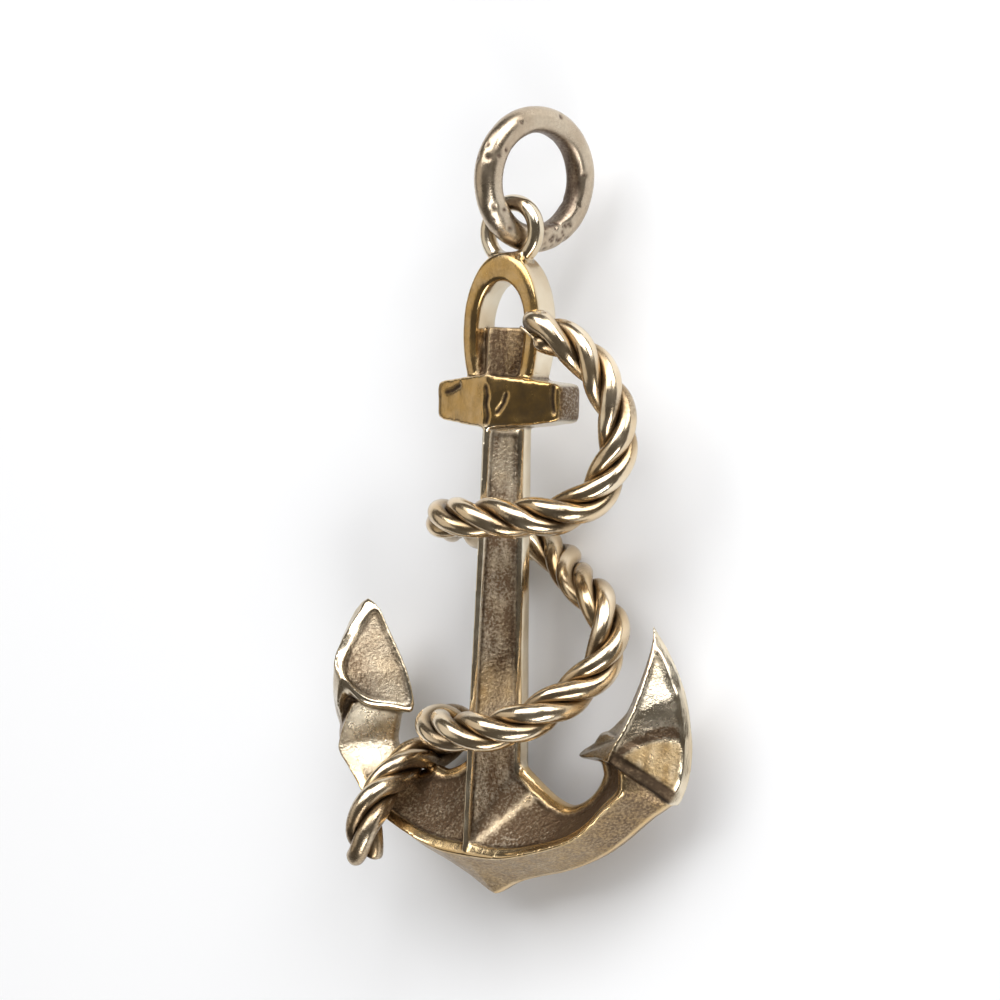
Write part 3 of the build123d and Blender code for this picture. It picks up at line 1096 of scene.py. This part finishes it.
def make_strand(number):
    """One strand of the rope, with a rounded start and a cut end."""
    middle, along, across, up = rope_frame()
    walked = walked_along(middle)
    turn = strand_turn(number, middle, along)
    outward = across * np.cos(turn)[:, None] + up * np.sin(turn)[:, None]
    opened = smoothstep(*START_OPENING, walked)
    offset = STRAND_OFFSET * (START_OFFSET + (1 - START_OFFSET) * opened)
    centres = middle + outward * offset[:, None]
    ways = unit(np.gradient(centres, axis=0))
    over = unit(np.cross(ways, outward))
    rise = unit(np.cross(over, ways))
    radius = strand_radius(number, walked)
    angles = circle(STRAND_SIDES)
    crest = np.array([math.cos(angle) for angle in angles])
    rings = np.empty((len(centres), STRAND_SIDES, 3))
    for j, angle in enumerate(angles):
        flat = 1 - CREST_FLAT * max(crest[j], 0) ** 2
        way = rise * crest[j] * flat + over * math.sin(angle)
        rings[:, j] = centres + way * radius[:, None]
    points, faces = tube(rings)
    mesh = mesh_of(f"rope_strand_{number + 1}_skin", to_row(points), faces)

    # Grooves between the strands get grime and painted shade, and their flanks a painted warm
    # reflection
    paint(mesh, "hollow", np.tile(1 - smoothstep(-0.35, 0.5, crest), len(centres)))
    paint(mesh, "tint_and_reflection", np.tile(0.65 * (1 - smoothstep(0.15, 0.95, crest)), len(centres)))
    # Brown residue at the soldered end, and painted shade where the rope passes behind the anchor
    behind = 1 - smoothstep(0.2, 1.2, middle[:, 2])
    behind *= 1 - smoothstep(7.6, 8.4, middle[:, 1])
    at_end = 1 - smoothstep(1.5, 4.0, walked[-1] - walked)
    end_residue_and_shade = np.maximum(0.55 * at_end, 0.65 * behind)
    patches = 0.55 * smoothstep(0.1, 0.9, wobble(points, 2.2, seed=31))
    paint(mesh, "soil_and_shade", np.maximum(np.repeat(end_residue_and_shade, STRAND_SIDES), patches))
    return add_piece(mesh, f"Rope_strand_{number + 1}", "rope", f"rope_strand_{number + 1}")


# The jump ring


def wire_section(turn):
    """A place on the wire's section, with x outward and z along the ring's axis."""
    x, z = math.cos(turn), math.sin(turn)
    if x < 0:
        x = -(abs(x) ** WORN_ACROSS) * WORN_DEPTH
        z = math.copysign(abs(z) ** WORN_ALONG, z)
    return x, z


def pit(points, first, second, facing, radius):
    """The ring's points with dents and pits pressed in, and how much grime and painted shade that
    puts in them.
    """
    half = RING_WIRE / 2
    draw = np.random.default_rng(3)
    scattered = draw.uniform(0, 2 * math.pi, (SCATTERED_PITS, 2))
    gathered = draw.normal(PITTED, PITTED_SPREAD, (GATHERED_PITS, 2))
    grime_and_shade = np.zeros(len(points))
    for where, turn in np.concatenate([scattered, gathered]):
        outward = first * math.cos(where) + second * math.sin(where)
        spot = outward * (radius + math.cos(turn) * half) + facing * math.sin(turn) * half
        size = draw.uniform(*PIT_SIZES)
        gap = np.linalg.norm(points - spot, axis=1)
        inward = unit(outward * radius - points)
        points = points + inward * (PIT_DEPTH * size * falloff(gap, size))[:, None]
        # Grime and painted shade in the pits
        grime_and_shade = np.maximum(grime_and_shade, 1.1 * falloff(gap, 0.8 * size))
    return points, grime_and_shade


def make_ring():
    """The jump ring: a wire worn flat inside, with dents and pits."""
    facing = unit(RING_FACING)
    first = unit(np.cross(facing, np.array([0.0, 0.0, 1.0])))
    second = np.cross(facing, first)
    radius = (RING_OUTER - RING_WIRE) / 2
    half = RING_WIRE / 2
    turns = circle(RING_SIDES)
    rings = np.empty((RING_STEPS, RING_SIDES, 3))
    for i, angle in enumerate(circle(RING_STEPS)):
        outward = first * math.cos(angle) + second * math.sin(angle)
        swell = 1 + 0.012 * math.sin(3 * angle + 1) + 0.01 * math.sin(7 * angle)
        for j, turn in enumerate(turns):
            x, z = wire_section(turn)
            rings[i, j] = outward * (radius + x * half * swell) + facing * z * half * swell
    points, grime_and_shade = pit(rings.reshape(-1, 3), first, second, facing, radius)
    points, faces = tube(points.reshape(RING_STEPS, RING_SIDES, 3), caps=False)
    mesh = mesh_of("jump_ring_skin", (points + RING_MIDDLE) * MM, faces)
    # The inner wall and the pits get soil, grime and painted shade
    inner = np.tile(1 - smoothstep(-0.9, -0.3, np.cos(turns)), RING_STEPS)
    paint(mesh, "hollow", np.maximum(inner * 0.6, 0.7 * grime_and_shade))
    paint(mesh, "soil_and_shade", np.maximum(0.26 + 0.5 * inner, grime_and_shade))
    paint(mesh, "tint_and_reflection", np.full(len(inner), 0.12))
    return add_piece(mesh, "Jump_ring", "jump_ring", "jump_ring")


# Materials


def new_node(tree, kind, **values):
    """A node with settings, and with input values where a name is an input."""
    made = tree.nodes.new(kind)
    for key, value in values.items():
        if key in made.inputs:
            made.inputs[key].default_value = value
        else:
            setattr(made, key, value)
    return made


def feed(tree, socket, value):
    """Links an output to a socket, or sets the socket to a value."""
    if hasattr(value, "is_output"):
        tree.links.new(value, socket)
    else:
        socket.default_value = value


def mix_colour(tree, share, first, second):
    """One colour turned to another by a share."""
    mix = new_node(tree, "ShaderNodeMix", data_type="RGBA")
    feed(tree, mix.inputs[MIX_SHARE], share)
    feed(tree, mix.inputs[MIX_FIRST], first)
    feed(tree, mix.inputs[MIX_SECOND], second)
    return mix.outputs[MIX_RESULT]


def combine(tree, operation, first, second, clamp):
    """An operation on two numbers or sockets, clamped to 0 and 1 where asked."""
    made = new_node(tree, "ShaderNodeMath", operation=operation, use_clamp=clamp)
    feed(tree, made.inputs[0], first)
    feed(tree, made.inputs[1], second)
    return made.outputs[0]


def times(tree, first, second, clamp=False):
    """The product of two numbers or sockets."""
    return combine(tree, "MULTIPLY", first, second, clamp)


def plus(tree, first, second, clamp=False):
    """The sum of two numbers or sockets."""
    return combine(tree, "ADD", first, second, clamp)


def scaled(tree, socket, low, high, to_low, to_high):
    """A number moved from one range to another."""
    ends = {"From Min": low, "From Max": high, "To Min": to_low, "To Max": to_high}
    made = new_node(tree, "ShaderNodeMapRange", **ends)
    tree.links.new(socket, made.inputs["Value"])
    return made.outputs["Result"]


def noise(tree, place, scale, detail, rough):
    """Noise with features of 1/scale metres."""
    made = new_node(tree, "ShaderNodeTexNoise", Scale=scale, Detail=detail, Roughness=rough)
    tree.links.new(place, made.inputs["Vector"])
    return made.outputs["Fac"]


def gold_relief(tree, place, frost, darkened, scratches):
    """Grain on frosted panels and hair scratches on polished metal, as a normal."""
    grit = noise(tree, place, *GRIT)
    turned = new_node(tree, "ShaderNodeMapping", Scale=SCRATCH_STRETCH, Rotation=SCRATCH_TURN)
    tree.links.new(place, turned.inputs["Vector"])
    scratch = noise(tree, turned.outputs["Vector"], *SCRATCH)
    rugged = plus(tree, frost, times(tree, darkened, DARKENING_GRAIN))
    height = plus(tree, times(tree, grit, rugged), times(tree, scratch, scratches))
    bump = new_node(tree, "ShaderNodeBump", Strength=BUMP_STRENGTH, Distance=BUMP_DEPTH)
    tree.links.new(height, bump.inputs["Height"])
    return bump.outputs["Normal"]


def gold(name, bright, deep, tinted, brown, polish, scratches):
    """Antique gold: polished with fine scratches, frosted where cast, brown with soil and painted
    shade.
    """
    material = bpy.data.materials.new(name)
    material.use_nodes = True
    tree = material.node_tree
    shader = tree.nodes["Principled BSDF"]
    shader.inputs["Metallic"].default_value = 1.0
    place = tree.nodes.new("ShaderNodeTexCoord").outputs["Object"]
    masks = {}
    for mask in ("frost", "soil_and_shade", "tint_and_reflection", "hollow", "wear"):
        made = new_node(tree, "ShaderNodeAttribute", attribute_name=mask)
        masks[mask] = made.outputs["Fac"]

    cloud = noise(tree, place, *CLOUD)
    speck = noise(tree, place, *SPECK)
    tarnish = noise(tree, place, *TARNISH)
    colour = mix_colour(tree, scaled(tree, cloud, *CLOUD_SHARE), (*bright, 1), (*deep, 1))
    # The tint mask turns the gold deeper: tone, and painted reflection
    patches = scaled(tree, tarnish, *TINT_PATCHES)
    colour = mix_colour(tree, times(tree, masks["tint_and_reflection"], patches), colour, (*tinted, 1))
    # Soil and painted shade turn the gold brown, except where the edges are worn
    spots = scaled(tree, speck, *DARKENING_SPOTS)
    clean = scaled(tree, masks["wear"], *WORN_CLEAN)
    darkened = times(tree, times(tree, masks["soil_and_shade"], spots), clean, clamp=True)
    colour = mix_colour(tree, darkened, colour, (*brown, 1))
    # Hollows darken further with grime and painted shade
    uneven = scaled(tree, tarnish, *HOLLOW_PATCHES)
    grime_and_shade = times(tree, masks["hollow"], uneven, clamp=True)
    dark = [HOLLOW_DARKNESS * part for part in brown]
    colour = mix_colour(tree, grime_and_shade, colour, (*dark, 1))
    tree.links.new(colour, shader.inputs["Base Color"])

    rough = scaled(tree, tarnish, *TARNISHED, polish, polish + ROUGHER["tarnish"])
    rough = plus(tree, rough, times(tree, masks["frost"], ROUGHER["frost"]))
    rough = plus(tree, rough, times(tree, darkened, ROUGHER["darkened"]))
    rough = plus(tree, rough, times(tree, grime_and_shade, ROUGHER["grime_and_shade"]), clamp=True)
    tree.links.new(rough, shader.inputs["Roughness"])
    normal = gold_relief(tree, place, masks["frost"], darkened, scratches)
    tree.links.new(normal, shader.inputs["Normal"])
    return material


# The surface, the light and the camera


def plain_surface():
    """The pale surface that the pendant lies on."""
    corners = [(-1, -1, 0), (1, -1, 0), (1, 1, 0), (-1, 1, 0)]
    mesh = mesh_of("surface_mesh", corners, [(0, 1, 2, 3)])
    floor = new_object("Surface", mesh)
    material = bpy.data.materials.new("Pale_surface")
    material.use_nodes = True
    shader = material.node_tree.nodes["Principled BSDF"]
    shader.inputs["Base Color"].default_value = SURFACE_COLOUR
    shader.inputs["Roughness"].default_value = SURFACE_ROUGH
    floor.data.materials.append(material)


def light_room():
    """A dim, warm room with soft boxes that point at its middle."""
    world = bpy.data.worlds.new("Studio")
    bpy.context.scene.world = world
    world.use_nodes = True
    background = world.node_tree.nodes["Background"]
    background.inputs["Color"].default_value = ROOM_COLOUR
    background.inputs["Strength"].default_value = ROOM_STRENGTH
    bpy.context.scene.view_settings.view_transform = "Standard"
    for name, place, size, power, colour in SOFT_BOXES:
        lamp = bpy.data.lights.new(name, "AREA")
        lamp.shape = "RECTANGLE"
        lamp.size, lamp.size_y = size
        lamp.energy = power
        lamp.color = colour
        box = new_object(name, lamp)
        box.location = place
        box.rotation_euler = (-Vector(place)).to_track_quat("-Z", "Y").to_euler()


def place_camera():
    """The camera at the photograph's angle to the lying pendant."""
    turn, rise, roll = (math.radians(angle) for angle in (CAMERA_TURN, CAMERA_RISE, CAMERA_ROLL))
    right = LAY @ np.array([math.cos(turn), 0, -math.sin(turn)])
    level = math.cos(rise)
    back = LAY @ np.array([math.sin(turn) * level, math.sin(rise), math.cos(turn) * level])
    up = np.cross(back, right)
    rolled_right = right * math.cos(roll) + up * math.sin(roll)
    rolled_up = up * math.cos(roll) - right * math.sin(roll)
    target = to_row(CAMERA_TARGET) - rolled_right * CAMERA_SHIFT * MM
    lens = bpy.data.cameras.new("Camera")
    lens.lens = CAMERA_LENS
    lens.sensor_width = CAMERA_SENSOR
    lens.clip_start, lens.clip_end = CAMERA_CLIP
    camera = new_object("Camera", lens)
    axes = Matrix((rolled_right, rolled_up, back)).transposed().to_4x4()
    camera.matrix_world = Matrix.Translation(target + back * CAMERA_DISTANCE * MM) @ axes
    bpy.context.scene.camera = camera


place_camera()
plain_surface()
light_room()

casting = make_casting()
strands = [make_strand(number) for number in range(STRAND_COUNT)]
ring = make_ring()

casting.data.materials.append(gold("Cast_gold", *CAST_GOLD))
for strand in strands:
    strand.data.materials.append(gold("Rope_gold", *ROPE_GOLD))
ring.data.materials.append(gold("Ring_gold", *RING_GOLD))
